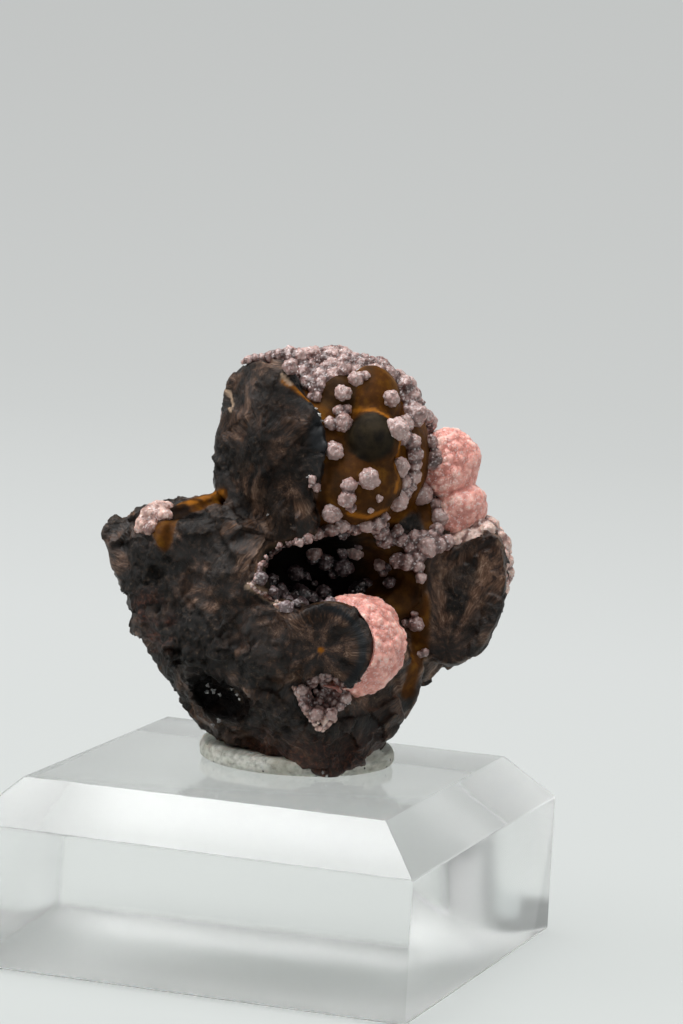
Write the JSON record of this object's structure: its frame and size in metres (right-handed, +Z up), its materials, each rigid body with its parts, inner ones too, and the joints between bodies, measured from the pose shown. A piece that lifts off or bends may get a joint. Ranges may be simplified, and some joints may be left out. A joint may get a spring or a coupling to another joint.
{
  "type": "rhodochrosite specimen on goethite",
  "caption": "Botryoidal rhodochrosite on a broken, fibrous goethite matrix with an open cavity, pressed into a putty pad on a bevelled clear acrylic display block.",
  "frame": {"origin": "middle of the block's underside, at the bottom centre of the whole object's box", "axes": "+Z up; +X to the right along the block's front edge; -Y is the block's front face, and the stone's front is turned 19 degrees to the right of it"},
  "size_m": [0.05, 0.05, 0.0654],
  "materials": {
    "goethite": "fibrous, broken, satin",
    "lilac_rhodochrosite": "druzy beads, sparkling",
    "pink_rhodochrosite": "druzy, slightly translucent",
    "plum_rhodochrosite": "druzy beads, dark",
    "putty": "matte, kneaded",
    "acrylic": "clear, polished"
  },
  "bodies": {
    "root": {"goethite_matrix": "goethite", "dome_crust": "lilac_rhodochrosite", "wing_crust": "lilac_rhodochrosite", "vug_lining": "lilac_rhodochrosite", "side_balls": "pink_rhodochrosite", "front_ball": "pink_rhodochrosite", "shoulder_patch": "pink_rhodochrosite", "cavity_lining": "plum_rhodochrosite", "putty_pad": "putty", "acrylic_block": "acrylic"}
  },
  "joints": []
}
